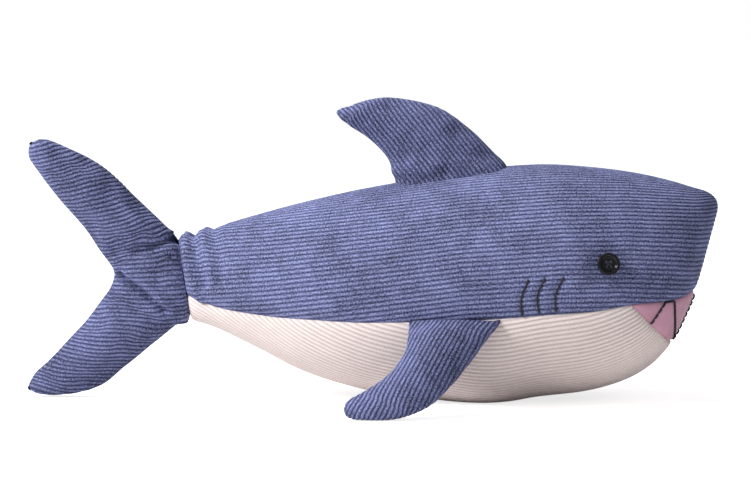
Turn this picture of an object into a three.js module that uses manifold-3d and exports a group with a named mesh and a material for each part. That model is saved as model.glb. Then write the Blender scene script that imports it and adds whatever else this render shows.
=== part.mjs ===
// A corduroy plush shark, resting on its belly with its side fins spread to both sides.
// Millimetres. +X towards the snout, +Z up, Y = 0 is the plane of symmetry and the shark's right side is at -Y.
// The origin is the centre of the bounding box's bottom face.
//
// The sewn body is four fabric panels round one stuffing core: two blue side panels that meet in the back seam and in
// the snout seam, a cream belly panel between the two side seams, and a pink mouth panel let in at the front.
// The back fin, the two side fins and the tail fin are each two fabric panels round a stuffing core of their own, and
// each turns on its root seam.

import * as THREE from "three";
import { LoftGeometry } from "three/addons/geometries/LoftGeometry.js";
import { mergeVertices } from "three/addons/utils/BufferGeometryUtils.js";
import Module from "manifold-3d";

const wasm = await Module();
wasm.setup();

// ---- Driving dimensions ----

const SKIN = 1.8; // corduroy with its pile
const GAP = 0.3; // between pieces that touch
const CORE_GAP = 1.3; // between a stuffing core and its panels, whose flat facets cut inside their curves
const SEAM_ALLOWANCE = 0.9; // half the thickness of a fin where its two panels are sewn together
const THREAD = 0.45; // radius of the embroidery thread, two strands laid together

// Sections of the body from the tail neck (0) to the snout seam (14). Each lies in the plane through Y and the line from
// its keel point to its back point: [back x, back z, keel x, keel z, half width, height share of the side seam].
const BODY = [
  [-97.5, 87, -97.5, 41.5, 13, 0.3],
  [-84, 91, -84, 37.8, 21, 0.232],
  [-62, 97.4, -62, 27.5, 31, 0.28],
  [-36, 104.3, -36, 14.4, 41, 0.349],
  [-6, 111, -6, 5.4, 49.5, 0.376],
  [26, 116.6, 26, 0.6, 55, 0.393],
  [58, 121.8, 58, -4.2, 58, 0.411],
  [90, 124.2, 86, 1, 58.5, 0.397],
  [118, 122.6, 112, 4.2, 56.5, 0.402],
  [140, 119.7, 132, 9.6, 52, 0.412],
  [157, 116, 146.5, 17.5, 45.5, 0.385],
  [170, 112.2, 157, 28.5, 37, 0.335],
  [178, 109.8, 163.5, 40.5, 26.5, 0.253],
  [182.6, 106, 168.6, 50.5, 14, 0.14],
  [184.2, 101, 171, 57, 0.15, 0],
];
const NECK = 0;
const SNOUT = 14;
const WIDEST = 0.42; // where a section is widest, as a share of its height
const BELLY_FULLNESS = 0.85; // below 1 the lower half of a section is fuller than an ellipse

// The mouth runs from its corners round the front of the snout. Its upper edge is the side seam. Its lower edge leaves
// the side seam at the corner and reaches the keel at the chin: [section, share of the height].
const LOWER_LIP = [
  [8.9, 0.412],
  [9.3, 0.342],
  [9.75, 0.262],
  [10.3, 0.165],
  [10.85, 0.06],
  [11.25, 0],
];
const MOUTH_CORNER = LOWER_LIP[0][0];
const CHIN = LOWER_LIP.at(-1)[0];

// ---- Solids from surfaces ----

// Turns a geometry right side out if its faces point inwards.
function facingOut(geometry) {
  const index = geometry.index.array;
  const position = geometry.attributes.position;
  const [a, b, c] = [new THREE.Vector3(), new THREE.Vector3(), new THREE.Vector3()];
  let volume = 0;
  for (let i = 0; i < index.length; i += 3) {
    a.fromBufferAttribute(position, index[i]);
    b.fromBufferAttribute(position, index[i + 1]);
    c.fromBufferAttribute(position, index[i + 2]);
    volume += a.dot(b.cross(c));
  }
  if (volume < 0)
    for (let i = 0; i < index.length; i += 3)
      [index[i + 1], index[i + 2]] = [index[i + 2], index[i + 1]];
  return geometry;
}

// The closed sheet between two surfaces, each a function of u and v from 0 to 1 that gives a point.
function sheetGeometry(outer, inner, columns, rows) {
  const points = [];
  for (const surface of [outer, inner])
    for (let i = 0; i <= columns; i++)
      for (let j = 0; j <= rows; j++) points.push(surface(i / columns, j / rows));
  const at = (surface, i, j) => (surface * (columns + 1) + i) * (rows + 1) + j;
  const index = [];
  const quad = (a, b, c, d) => index.push(a, b, c, a, c, d);
  for (let i = 0; i < columns; i++)
    for (let j = 0; j < rows; j++) {
      quad(at(0, i, j), at(0, i + 1, j), at(0, i + 1, j + 1), at(0, i, j + 1));
      quad(at(1, i, j), at(1, i, j + 1), at(1, i + 1, j + 1), at(1, i + 1, j));
    }
  for (let i = 0; i < columns; i++) {
    quad(at(0, i, 0), at(1, i, 0), at(1, i + 1, 0), at(0, i + 1, 0));
    quad(at(0, i, rows), at(0, i + 1, rows), at(1, i + 1, rows), at(1, i, rows));
  }
  for (let j = 0; j < rows; j++) {
    quad(at(0, 0, j), at(0, 0, j + 1), at(1, 0, j + 1), at(1, 0, j));
    quad(at(0, columns, j), at(1, columns, j), at(1, columns, j + 1), at(0, columns, j + 1));
  }
  const geometry = new THREE.BufferGeometry().setFromPoints(points).setIndex(index);
  return facingOut(geometry);
}

// Drops what a joined surface doesn't need, and makes shared corners one.
function welded(geometry, tolerance = 1e-4) {
  const bare = new THREE.BufferGeometry().copy(geometry);
  bare.deleteAttribute("normal");
  bare.deleteAttribute("uv");
  return mergeVertices(bare, tolerance);
}

// The closed body through a row of rings.
function coreGeometry(rings) {
  // The rings have to run counterclockwise, seen from the last one.
  const [first, second] = rings;
  const winding = new THREE.Vector3();
  first.forEach((point, k) => winding.add(point.clone().cross(first[(k + 1) % first.length])));
  if (winding.dot(second[0].clone().sub(first[0])) < 0) rings.forEach((ring) => ring.reverse());
  return welded(new LoftGeometry(rings, { capStart: true, capEnd: true }), 1e-3);
}

function solidOf(geometry) {
  const merged = welded(geometry);
  return new wasm.Manifold(
    new wasm.Mesh({
      numProp: 3,
      vertProperties: merged.attributes.position.array,
      triVerts: new Uint32Array(merged.index.array),
    }),
  );
}

function geometryOf(solid) {
  const mesh = solid.getMesh();
  return new THREE.BufferGeometry()
    .setAttribute("position", new THREE.BufferAttribute(mesh.vertProperties, 3))
    .setIndex(new THREE.BufferAttribute(mesh.triVerts, 1));
}

const joined = (...geometries) =>
  geometryOf(geometries.map(solidOf).reduce((whole, next) => whole.add(next)));

const cut = (geometry, ...tools) =>
  geometryOf(tools.map(solidOf).reduce((whole, tool) => whole.subtract(tool), solidOf(geometry)));

// A thread that lies on a surface, through stops that place takes to a point at some height above the surface.
function threadGeometry(stops, place) {
  const lift = THREAD + 1.5 * GAP;
  const sides = 6;
  const centres = stops.map((stop) => place(stop, lift));
  const rings = stops.map((stop, i) => {
    const along = centres[Math.min(i + 1, stops.length - 1)].clone().sub(centres[Math.max(i - 1, 0)]);
    const out = centres[i].clone().sub(place(stop, 0)).normalize();
    const across = along.cross(out).normalize();
    return Array.from({ length: sides }, (_, k) => {
      const turn = (2 * Math.PI * k) / sides;
      return centres[i]
        .clone()
        .addScaledVector(out, THREAD * Math.cos(turn))
        .addScaledVector(across, THREAD * Math.sin(turn));
    });
  });
  return coreGeometry(rings);
}

// ---- The body's surface ----

const spline = (rows, pick) =>
  new THREE.CatmullRomCurve3(rows.map((row) => new THREE.Vector3(...pick(row))), false, "catmullrom");
const backLine = spline(BODY, (row) => [row[0], 0, row[1]]);
const keelLine = spline(BODY, (row) => [row[2], 0, row[3]]);
const girthLine = spline(BODY, (row) => [row[4], row[5], 0]);
const along = (line, section) => line.getPoint(THREE.MathUtils.clamp(section / SNOUT, 0, 1));

// The angle round a section, from -90 degrees at the keel to 90 at the back, at a share of its height.
function angleAt(share) {
  const below = share < WIDEST;
  const sine = below ? share / WIDEST - 1 : (share - WIDEST) / (1 - WIDEST);
  return Math.asin(THREE.MathUtils.clamp(sine, -1, 1));
}

// A point of the right side, which is at -Y. The keel is flattened where the shark rests on it.
function sidePoint(section, angle) {
  const back = along(backLine, section);
  const keel = along(keelLine, section);
  const below = angle < 0;
  const reach = below ? WIDEST : 1 - WIDEST;
  const point = keel.lerp(back, WIDEST + reach * Math.sin(angle));
  point.y = -along(girthLine, section).x * Math.max(Math.cos(angle), 0) ** (below ? BELLY_FULLNESS : 1);
  point.z = Math.max(point.z, 0);
  return point;
}

// The outward direction of the right side's surface.
function sideNormal(section, angle) {
  const step = 0.02;
  const forward = sidePoint(section + step, angle).sub(sidePoint(section - step, angle));
  const up = sidePoint(section, angle + step).sub(sidePoint(section, angle - step));
  return forward.cross(up).normalize();
}

// A point of the body that far outside its surface, on the right, or on the left if side is 1.
function bodyPoint(section, angle, height = 0, side = -1) {
  const point = sidePoint(section, angle).addScaledVector(sideNormal(section, angle), height);
  point.y *= -side;
  return point;
}

const seamAngle = (section) => angleAt(Math.max(along(girthLine, section).y, 0));
// The angle of the lower lip at a section between the corner of the mouth and the chin.
function lipAngle(section) {
  const next = Math.max(LOWER_LIP.findIndex(([place]) => place >= section), 1);
  const [start, end] = [LOWER_LIP[next - 1], LOWER_LIP[next]];
  return angleAt(THREE.MathUtils.mapLinear(section, start[0], end[0], start[1], end[1]));
}

// The angle that takes up half a gap, at this section.
const halfGap = (section) => GAP / 2 / Math.max(along(girthLine, section).x, 2);

const mix = THREE.MathUtils.lerp;

function sidePanelGeometry() {
  const surface = (height) => (u, v) => {
    const section = mix(NECK, SNOUT, u);
    const bottom = seamAngle(section) + halfGap(section);
    const top = Math.acos(GAP / 2 / along(girthLine, section).x);
    const point = bodyPoint(section, mix(bottom, top, v), height);
    point.y = Math.min(point.y, -GAP / 2);
    return point;
  };
  return sheetGeometry(surface(0), surface(-SKIN), 24, 6);
}

function bellyPanelGeometry() {
  const front = CHIN - 0.12;
  const edgeAngle = (section) => {
    const angle = section > MOUTH_CORNER ? lipAngle(section) : seamAngle(section);
    const narrowest = 0.03;
    return Math.max(angle - halfGap(section), -Math.PI / 2 + narrowest);
  };
  const surface = (height) => (u, v) => {
    const section = mix(NECK, front, u);
    const side = v < 0.5 ? -1 : 1;
    const angle = mix(-Math.PI / 2, edgeAngle(section), Math.abs(2 * v - 1));
    return bodyPoint(section, angle, height, side);
  };
  return sheetGeometry(surface(0), surface(-SKIN), 22, 10);
}

// u goes from the right corner of the mouth (0) over the middle (0.5) to the left corner (1), and v from the lower edge
// to the upper edge.
function mouthPoint(u, v, height = 0) {
  const share = 1 - Math.abs(2 * u - 1);
  const lowerSection = mix(MOUTH_CORNER, CHIN, share);
  const upperSection = mix(MOUTH_CORNER, SNOUT, share);
  const lowerAngle = lipAngle(lowerSection) + halfGap(lowerSection);
  const upperAngle = seamAngle(upperSection) - halfGap(upperSection);
  const section = mix(lowerSection, upperSection, v);
  const angle = mix(lowerAngle, Math.max(upperAngle, lowerAngle), v);
  return bodyPoint(section, angle, height, u < 0.5 ? -1 : 1);
}

function mouthPanelGeometry() {
  const cornerTrim = 0.07;
  const edgeTrim = 0.03;
  const surface = (height) => (u, v) =>
    mouthPoint(mix(cornerTrim, 1 - cornerTrim, u), mix(edgeTrim, 1 - edgeTrim, v), height);
  return sheetGeometry(surface(0), surface(-SKIN), 20, 3);
}

function bodyStuffingGeometry() {
  const height = -SKIN - CORE_GAP;
  const frontEnd = 13;
  const rings = [];
  const ringCount = 18;
  const ringPoints = 20;
  for (let i = 0; i <= ringCount; i++) {
    const section = mix(NECK, frontEnd, i / ringCount);
    const ring = [];
    for (let k = 0; k < ringPoints; k++) {
      const turn = (2 * Math.PI * k) / ringPoints;
      const angle = Math.asin(Math.sin(turn));
      ring.push(bodyPoint(section, angle, height, Math.cos(turn) < 0 ? -1 : 1));
    }
    rings.push(ring);
  }
  return coreGeometry(rings);
}

// ---- Button eyes on one thread through the head ----

const EYE_SECTION = 8.22;
const EYE_HEIGHT_SHARE = 0.603;
const BUTTON_HOLE = 0.8;
const HOLE_CIRCLE = 1.45; // from the button's centre to each of its four holes
const SHANK_HEIGHT = 0.9; // of wound thread between the fabric and the button
const TIE_RADIUS = 0.8;
const BUTTON_PROFILE = [
  [0, 0],
  [4.9, 0],
  [5.5, 0.4],
  [5.6, 1.1],
  [5.5, 1.9],
  [5, 2.4],
  [4.4, 2.3],
  [3.9, 1.7],
  [3.2, 1.3],
  [0, 1.3],
];
const BUTTON_WEB = 1.3; // thickness of the button's middle

const eyePoint = bodyPoint(EYE_SECTION, angleAt(EYE_HEIGHT_SHARE));
const eyeNormal = sideNormal(EYE_SECTION, angleAt(EYE_HEIGHT_SHARE));

// Takes a shape that stands on the XY plane to the right eye, standing on the fabric.
function onEye(geometry, standOff) {
  const turn = new THREE.Quaternion().setFromUnitVectors(new THREE.Vector3(0, 0, 1), eyeNormal);
  const foot = eyePoint.clone().addScaledVector(eyeNormal, standOff);
  return geometry.applyMatrix4(new THREE.Matrix4().compose(foot, turn, new THREE.Vector3(1, 1, 1)));
}

const upright = (radius, height, sides) =>
  new THREE.CylinderGeometry(radius, radius, height, sides).rotateX(Math.PI / 2).translate(0, 0, height / 2);

const holePlaces = [45, 135, 225, 315].map((degrees) => {
  const angle = THREE.MathUtils.degToRad(degrees);
  return [HOLE_CIRCLE * Math.cos(angle), HOLE_CIRCLE * Math.sin(angle)];
});

function buttonGeometry() {
  const disc = new THREE.LatheGeometry(
    BUTTON_PROFILE.map(([radius, height]) => new THREE.Vector2(radius, height)),
    20,
  ).rotateX(Math.PI / 2);
  const holes = holePlaces.map(([x, y]) => upright(BUTTON_HOLE, 4 * BUTTON_WEB, 8).translate(x, y, -BUTTON_WEB));
  return onEye(cut(facingOut(welded(disc)), ...holes), SHANK_HEIGHT + 2 * GAP);
}

// What the thread needs cleared through fabric and stuffing.
const tieBore = () =>
  new THREE.CylinderGeometry(TIE_RADIUS + GAP, TIE_RADIUS + GAP, 4 * Math.abs(eyePoint.y), 8).translate(
    eyePoint.x,
    0,
    eyePoint.z,
  );

function eyeThreadGeometry() {
  const tie = new THREE.CylinderGeometry(TIE_RADIUS, TIE_RADIUS, 2 * Math.abs(eyePoint.y) + 1, 8);
  tie.translate(eyePoint.x, 0, eyePoint.z);
  const strand = BUTTON_HOLE - GAP;
  const postHeight = SHANK_HEIGHT + GAP + BUTTON_WEB + 3 * GAP;
  const shank = upright(HOLE_CIRCLE + strand, SHANK_HEIGHT, 12);
  const posts = holePlaces.map(([x, y]) => upright(strand, postHeight, 6).translate(x, y, 0));
  const crosses = [45, 135].map((degrees) =>
    new THREE.BoxGeometry(2 * (HOLE_CIRCLE + strand), 2 * strand, 2 * strand)
      .rotateZ(THREE.MathUtils.degToRad(degrees))
      .translate(0, 0, postHeight),
  );
  const right = onEye(joined(shank, ...posts, ...crosses), GAP);
  const left = facingOut(right.clone().scale(1, -1, 1));
  return joined(tie, right, left);
}

// ---- Embroidered gills and teeth ----

// Each gill is a stitched line from the side seam up the cheek, leaning forward at its top:
// [section at the seam, section half way up, section at the top].
const GILLS = {
  rear: [6.62, 6.6, 6.72],
  middle: [6.92, 6.88, 7.01],
  front: [7.23, 7.21, 7.35],
};
const GILL_FOOT = 0.41; // shares of the height
const GILL_TOP = 0.555;

function gillGeometry(sections) {
  const corners = sections.map((section, k) => [section, mix(GILL_FOOT, GILL_TOP, k / (sections.length - 1)), 0]);
  const line = spline(corners, (corner) => corner);
  return threadGeometry(line.getPoints(8), ({ x, y }, height) => bodyPoint(x, angleAt(y), height));
}

// The teeth are one zigzag line of stitches across the mouth panel, given to the middle as [u, v] of mouthPoint.
const TEETH = [
  [0.151, 0.06],
  [0.12, 0.97],
  [0.162, 0.97],
  [0.47, 0.06],
  [0.5, 0.94],
];

function teethGeometry() {
  const otherHalf = TEETH.slice(0, -1)
    .reverse()
    .map(([u, v]) => [1 - u, v]);
  const corners = [...TEETH, ...otherHalf].map(([u, v]) => new THREE.Vector2(u, v));
  const stitches = 4; // between two corners of the zigzag
  const stops = corners.slice(1).flatMap((corner, i) =>
    Array.from({ length: stitches }, (_, k) => corners[i].clone().lerp(corner, k / stitches)),
  );
  return threadGeometry([...stops, corners.at(-1)], ({ x, y }, height) => mouthPoint(x, y, height));
}

// ---- Fins: two panels sewn round an outline, with stuffing between them ----

// An outline is two edges of the same number of [a, b] points, and thickness is the fin's half thickness midway between
// them at each of those points. The panels lie in the local XY plane, sewn together along both edges and both ends.
function finShape({ leading, trailing, thickness }) {
  const edge = (points) => spline(points, ([a, b]) => [a, b, 0]);
  const [front, rear] = [edge(leading), edge(trailing)];
  const swell = spline(thickness, (half) => [half, 0, 0]);
  const bulge = (u, v) => swell.getPoint(u).x * Math.sqrt(Math.max(1 - (2 * v - 1) ** 2, 0));
  const place = (u, v, height) => {
    const point = front.getPoint(u).lerp(rear.getPoint(u), v);
    point.z = height;
    return point;
  };
  return { bulge, place, swell };
}

function finPanelGeometry(outline, columns, rows, side) {
  const { bulge, place } = finShape(outline);
  const outer = (u, v) => place(u, v, side * (bulge(u, v) + SEAM_ALLOWANCE));
  const inner = (u, v) => place(u, v, side * Math.max(bulge(u, v) + SEAM_ALLOWANCE - SKIN, GAP / 2));
  // Rows crowd towards the sewn edges, where the fabric turns most.
  const crowd = (v) => (1 - Math.cos(Math.PI * v)) / 2;
  const spread = (surface) => (u, v) => surface(u, crowd(v));
  return sheetGeometry(spread(outer), spread(inner), columns, rows);
}

function finStuffingGeometry(outline, columns, points) {
  const { bulge, place, swell } = finShape(outline);
  const inset = SKIN - SEAM_ALLOWANCE + CORE_GAP;
  const least = 0.4; // half thickness of the core at its thin edges
  const edgeShare = 0.91; // how much of the room towards those edges it takes up
  const rings = [];
  for (let i = 0; i <= columns; i++) {
    const u = mix(outline.stuffed[0], outline.stuffed[1], i / columns);
    const reach = edgeShare * Math.sqrt(1 - ((inset + least) / swell.getPoint(u).x) ** 2);
    const ring = [];
    for (let k = 0; k < points; k++) {
      const turn = (2 * Math.PI * (k + 0.5)) / points;
      const v = 0.5 + 0.5 * reach * Math.cos(turn);
      const height = Math.max(bulge(u, v) - inset, least / 2);
      ring.push(place(u, v, Math.sin(turn) < 0 ? -height : height));
    }
    rings.push(ring);
  }
  return coreGeometry(rings);
}

// ---- Back fin: swept back, standing on the back seam and turning on its root ----

const BACK_FIN = {
  leading: [
    [71.5, 124.7],
    [69.2, 126.2],
    [63.6, 132],
    [52, 143.5],
    [34, 155.2],
    [10, 160],
    [-17, 155.4],
  ],
  trailing: [
    [10.8, 115.2],
    [10.6, 118],
    [9.2, 124.6],
    [5, 131],
    [-2, 137.6],
    [-10.5, 143],
    [-19.6, 149.6],
  ],
  thickness: [0.6, 4.3, 7.6, 8.4, 7.8, 6, 2.2],
  stuffed: [0.13, 0.93],
};

// ---- Side fins: sewn into the side seams, hanging outwards and resting on their tips ----

const SIDE_FIN = {
  // Measured from the root hinge: along it, and away from the body.
  leading: [
    [22.3, -4.4],
    [20.5, -1.6],
    [16.4, 6.5],
    [8.4, 19.1],
    [-1.9, 32.7],
    [-14, 44.6],
    [-32, 51.4],
    [-46.5, 52.6],
  ],
  trailing: [
    [-20.8, -4.4],
    [-21, -1.6],
    [-21.6, 6.5],
    [-23.6, 17.5],
    [-31, 29],
    [-41, 37.4],
    [-49, 43.2],
    [-52.4, 48.2],
  ],
  thickness: [1.2, 3.6, 6, 7.4, 7.6, 7, 5.2, 2],
  stuffed: [0.13, 0.93],
};
const SIDE_FIN_ROOT = new THREE.Vector3(42, -62.8, 45.2);
const SIDE_FIN_SPLAY = THREE.MathUtils.degToRad(33); // from straight down, outwards
const SIDE_FIN_YAW = THREE.MathUtils.degToRad(5); // the root follows the body as it widens

// ---- Tail fin: one boomerang of two lobes, turning on the neck ----

const TAIL_FIN = {
  // From the upper tip to the lower tip: the edge towards the body, and the forked edge behind.
  leading: [
    [-178, 138],
    [-150, 127],
    [-122, 105],
    [-100, 88],
    [-98.4, 65],
    [-100, 42],
    [-119, 24.5],
    [-145, 7.6],
    [-178, 2.6],
  ],
  trailing: [
    [-183.8, 132.6],
    [-174, 114.5],
    [-160, 97],
    [-146.4, 81],
    [-137, 66],
    [-147.4, 50],
    [-160, 36.5],
    [-172.5, 22.5],
    [-184.2, 8.4],
  ],
  thickness: [2.2, 8, 10.8, 12, 11.6, 12, 10.8, 8, 2.2],
  stuffed: [0.04, 0.96],
};

// ---- Materials ----

const fabric = (color) => new THREE.MeshStandardMaterial({ color, roughness: 0.95, metalness: 0 });
const blueCorduroy = fabric(0x6c729c);
const creamCorduroy = fabric(0xd9cdca);
const pinkCotton = fabric(0xc48ea6);
const stuffingFibre = fabric(0xf2f0ea);
const darkThread = fabric(0x1b1820);
const blackButton = new THREE.MeshStandardMaterial({ color: 0x101014, roughness: 0.25, metalness: 0 });

// ---- Assembly ----

const shark = new THREE.Group();

function add(name, geometry, material, parent = shark) {
  const mesh = new THREE.Mesh(geometry, material);
  mesh.name = name;
  parent.add(mesh);
}

const sidePanel = cut(sidePanelGeometry(), tieBore());
const button = buttonGeometry();
const mirrorGroup = new THREE.Group();
mirrorGroup.scale.y = -1;
shark.add(mirrorGroup);

for (const [side, parent] of [
  ["right", shark],
  ["left", mirrorGroup],
]) {
  add(`side_panel_${side}`, sidePanel, blueCorduroy, parent);
  add(`eye_button_${side}`, button, blackButton, parent);
  for (const [place, sections] of Object.entries(GILLS))
    add(`gill_stitch_${side}_${place}`, gillGeometry(sections), darkThread, parent);

  const fin = new THREE.Group();
  const forward = new THREE.Vector3(Math.cos(SIDE_FIN_YAW), -Math.sin(SIDE_FIN_YAW), 0);
  const outward = new THREE.Vector3(-Math.sin(SIDE_FIN_YAW), -Math.cos(SIDE_FIN_YAW), 0);
  const spread = outward
    .clone()
    .multiplyScalar(Math.sin(SIDE_FIN_SPLAY))
    .add(new THREE.Vector3(0, 0, -Math.cos(SIDE_FIN_SPLAY)));
  const face = forward.clone().cross(spread);
  fin.quaternion.setFromRotationMatrix(new THREE.Matrix4().makeBasis(forward, spread, face));
  fin.position.copy(SIDE_FIN_ROOT);
  parent.add(fin);
  add(`side_fin_${side}_top_panel`, finPanelGeometry(SIDE_FIN, 10, 5, -1), blueCorduroy, fin);
  add(`side_fin_${side}_under_panel`, finPanelGeometry(SIDE_FIN, 10, 5, 1), blueCorduroy, fin);
  add(`side_fin_${side}_stuffing`, finStuffingGeometry(SIDE_FIN, 8, 10), stuffingFibre, fin);
}

add("belly_panel", bellyPanelGeometry(), creamCorduroy);
add("mouth_panel", mouthPanelGeometry(), pinkCotton);
add("body_stuffing", cut(bodyStuffingGeometry(), tieBore()), stuffingFibre);
add("eye_thread", eyeThreadGeometry(), darkThread);
add("teeth_stitching", teethGeometry(), darkThread);

// The back fin and the tail fin stand in the plane of symmetry, so their local Y is up and their local Z is -Y.
const standing = new THREE.Group();
standing.rotation.x = Math.PI / 2;
shark.add(standing);
for (const [name, outline, columns, rows] of [
  ["back_fin", BACK_FIN, 10, 5],
  ["tail_fin", TAIL_FIN, 18, 6],
]) {
  add(`${name}_right_panel`, finPanelGeometry(outline, columns, rows, 1), blueCorduroy, standing);
  add(`${name}_left_panel`, finPanelGeometry(outline, columns, rows, -1), blueCorduroy, standing);
  add(`${name}_stuffing`, finStuffingGeometry(outline, columns - 3, 10), stuffingFibre, standing);
}

export default shark;
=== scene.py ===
import math

import bmesh
import bpy
import numpy as np
from mathutils import Matrix, Vector


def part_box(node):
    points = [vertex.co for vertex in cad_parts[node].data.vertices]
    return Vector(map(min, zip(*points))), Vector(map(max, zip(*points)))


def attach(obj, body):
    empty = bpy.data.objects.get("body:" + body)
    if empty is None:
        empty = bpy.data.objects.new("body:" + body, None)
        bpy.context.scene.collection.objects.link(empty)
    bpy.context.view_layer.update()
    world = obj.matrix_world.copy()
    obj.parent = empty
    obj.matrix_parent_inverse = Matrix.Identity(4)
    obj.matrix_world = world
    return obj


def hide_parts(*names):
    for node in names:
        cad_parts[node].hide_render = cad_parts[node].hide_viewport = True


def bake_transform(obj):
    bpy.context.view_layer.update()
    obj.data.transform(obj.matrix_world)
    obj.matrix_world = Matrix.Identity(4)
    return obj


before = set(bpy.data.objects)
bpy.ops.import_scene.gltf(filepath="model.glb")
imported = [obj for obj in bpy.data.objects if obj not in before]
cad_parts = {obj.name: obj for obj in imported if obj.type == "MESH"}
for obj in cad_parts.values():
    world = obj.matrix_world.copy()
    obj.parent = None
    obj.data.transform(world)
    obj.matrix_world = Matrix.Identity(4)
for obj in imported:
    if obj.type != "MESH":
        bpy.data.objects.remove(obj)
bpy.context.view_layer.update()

MM = 0.001

# ---- Camera ----
# A long lens looks at the shark's right side from a little above the middle of its body, far enough off that
# the near and far fins differ little in size.
CAMERA_DISTANCE = 1.5
CAMERA_LIFT = math.radians(5)
VIEW_WIDTH = 0.399
SENSOR_WIDTH = 36

bpy.ops.object.select_all(action="DESELECT")
aim = Vector((0.0013, 0, 0.0787))
bpy.ops.object.camera_add(
    location=aim + CAMERA_DISTANCE * Vector((0, -math.cos(CAMERA_LIFT), math.sin(CAMERA_LIFT))),
    rotation=(math.pi / 2 - CAMERA_LIFT, 0, 0),
)
camera = bpy.context.object
camera.data.lens = SENSOR_WIDTH * CAMERA_DISTANCE / VIEW_WIDTH
camera.data.sensor_width = SENSOR_WIDTH
bpy.context.scene.camera = camera

# ---- Floor and light ----
# A pale floor without an edge, a big soft box out towards the tail, a weaker one overhead, and a pale room.
# The floor glows, and the room is white, for the camera alone.
bpy.context.scene.view_settings.view_transform = "Standard"


def paint(red, green, blue):
    """A colour mixed on the usual 0 to 255 scale, as light."""
    shares = np.array([red, green, blue]) / 255
    return (*np.where(shares <= 0.04045, shares / 12.92, ((shares + 0.055) / 1.055) ** 2.4).tolist(), 1)


def new_material(name, colour, roughness):
    """A material, and its shader."""
    material = bpy.data.materials.new(name)
    material.use_nodes = True
    shader = material.node_tree.nodes["Principled BSDF"]
    shader.inputs["Base Color"].default_value = colour
    shader.inputs["Roughness"].default_value = roughness
    return material, shader


bpy.ops.mesh.primitive_plane_add(size=8)
floor = bpy.context.object
floor.name = "studio_floor"
floor_paint, floor_shader = new_material("floor_paint", paint(246, 245, 244), 0.9)
floor_shader.inputs["Emission Color"].default_value = paint(255, 255, 255)
floor_glow = floor_paint.node_tree.nodes.new("ShaderNodeMath")
floor_glow.operation = "MULTIPLY"
floor_glow.inputs[1].default_value = 0.75
floor_link = floor_paint.node_tree.links.new
floor_ray = floor_paint.node_tree.nodes.new("ShaderNodeLightPath")
floor_link(floor_ray.outputs["Is Camera Ray"], floor_glow.inputs[0])
floor_link(floor_glow.outputs[0], floor_shader.inputs["Emission Strength"])
floor.data.materials.append(floor_paint)


def soft_box(name, place, size, watts):
    bpy.ops.object.light_add(type="AREA", location=place)
    light = bpy.context.object
    light.name = name
    light.data.shape = "SQUARE"
    light.data.size = size
    light.data.energy = watts
    light.rotation_euler = (Vector((0, 0, 0.07)) - Vector(place)).to_track_quat("-Z", "Y").to_euler()


soft_box("tail_side_box", (-1.45, -0.65, 1.3), 0.7, 47)
soft_box("overhead_box", (-0.3, 0.3, 1.5), 0.8, 12)
room = bpy.data.worlds.new("pale_room")
bpy.context.scene.world = room
room.use_nodes = True
room.node_tree.nodes["Background"].inputs["Color"].default_value = paint(250, 251, 255)
room_nodes, room_link = room.node_tree.nodes, room.node_tree.links.new
room_light = room_nodes["Background"]
room_light.inputs["Strength"].default_value = 0.28
backdrop = room_nodes.new("ShaderNodeBackground")
backdrop.inputs["Color"].default_value = paint(255, 255, 255)
seen = room_nodes.new("ShaderNodeMixShader")
room_link(room_nodes.new("ShaderNodeLightPath").outputs["Is Camera Ray"], seen.inputs["Fac"])
room_link(room_light.outputs[0], seen.inputs[1])
room_link(backdrop.outputs[0], seen.inputs[2])
room_link(seen.outputs[0], room_nodes["World Output"].inputs["Surface"])

# ---- Body pattern ----
# The stuffed body before its cloth has any texture. It is cut from two blue side panels, a cream belly panel
# and a pink mouth panel, which meet in the back and snout seam and in the side seams.

BODY = (  # neck to snout: [back x, back z, keel x, keel z, half width, height share of the side seam]
    (-97.5, 87, -97.5, 41.5, 13, 0.3),
    (-84, 91, -84, 37.8, 21, 0.232),
    (-62, 97.4, -62, 27.5, 31, 0.28),
    (-36, 104.3, -36, 14.4, 41, 0.349),
    (-6, 111, -6, 5.4, 49.5, 0.376),
    (26, 116.6, 26, 0.6, 55, 0.393),
    (58, 121.8, 58, -4.2, 58, 0.411),
    (90, 124.2, 86, 1, 58.5, 0.397),
    (118, 122.6, 112, 4.2, 56.5, 0.402),
    (140, 119.7, 132, 9.6, 52, 0.412),
    (157, 116, 146.5, 17.5, 45.5, 0.385),
    (170, 112.2, 157, 28.5, 37, 0.335),
    (178, 109.8, 163.5, 40.5, 26.5, 0.253),
    (182.6, 106, 168.6, 50.5, 14, 0.14),
    (184.2, 101, 171, 57, 0.15, 0),
)
SNOUT = len(BODY) - 1
WIDEST = 0.42  # where a section is widest, as a share of its height
WALE_SPREAD = 1.07  # how far the stuffing spreads the body's wales
BELLY_FULLNESS = 0.85  # below 1 the lower half of a section is fuller than an ellipse
LOWER_LIP = ((8.9, 0.412), (9.3, 0.342), (9.75, 0.262), (10.3, 0.165), (10.85, 0.06), (11.25, 0))
MOUTH_CORNER = LOWER_LIP[0][0]
CHIN = LOWER_LIP[-1][0]
RIGHT, LEFT = -1, 1
NECK_SLANT = 6  # how much further back the neck seam lies at its top than at its bottom


def through(rows, place):
    """Rows of numbers, blended smoothly between the rows at fractional row numbers."""
    rows = np.asarray(rows, float)
    place = np.clip(np.asarray(place, float), 0, len(rows) - 1)
    first = np.minimum(place.astype(int), len(rows) - 2)
    step = (place - first).reshape(place.shape + (1,) * (rows.ndim - 1))
    padded = np.concatenate([2 * rows[:1] - rows[1:2], rows, 2 * rows[-1:] - rows[-2:-1]])
    a, b, c, d = (padded[first + k] for k in range(4))
    return b + 0.5 * step * (c - a + step * (2 * a - 5 * b + 4 * c - d + step * (3 * (b - c) + d - a)))


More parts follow.
